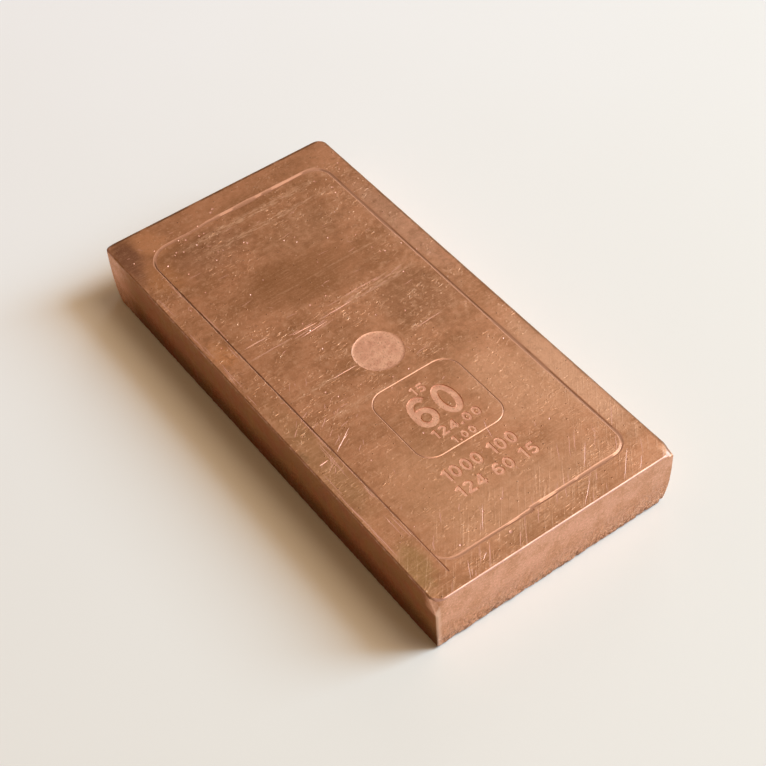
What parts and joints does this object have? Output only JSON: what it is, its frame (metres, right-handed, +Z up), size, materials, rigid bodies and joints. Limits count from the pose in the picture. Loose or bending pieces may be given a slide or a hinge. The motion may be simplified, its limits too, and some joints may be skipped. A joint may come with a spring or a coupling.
{
  "type": "copper ingot",
  "caption": "Flat one-kilogram copper bar, cast in one piece, with rounded corners, an engraved border line, a small engraved square and a shallow round recess on its upper face.",
  "frame": {"origin": "middle of the underside, on the surface that the bar rests on", "axes": "+X across the width, +Y along the length away from the edge that the marks stand nearest to, +Z up"},
  "size_m": [0.06, 0.124, 0.015],
  "materials": {
    "copper": "dull, finely scratched copper with brown tarnish"
  },
  "bodies": {
    "root": {"ingot": "copper"}
  },
  "joints": []
}
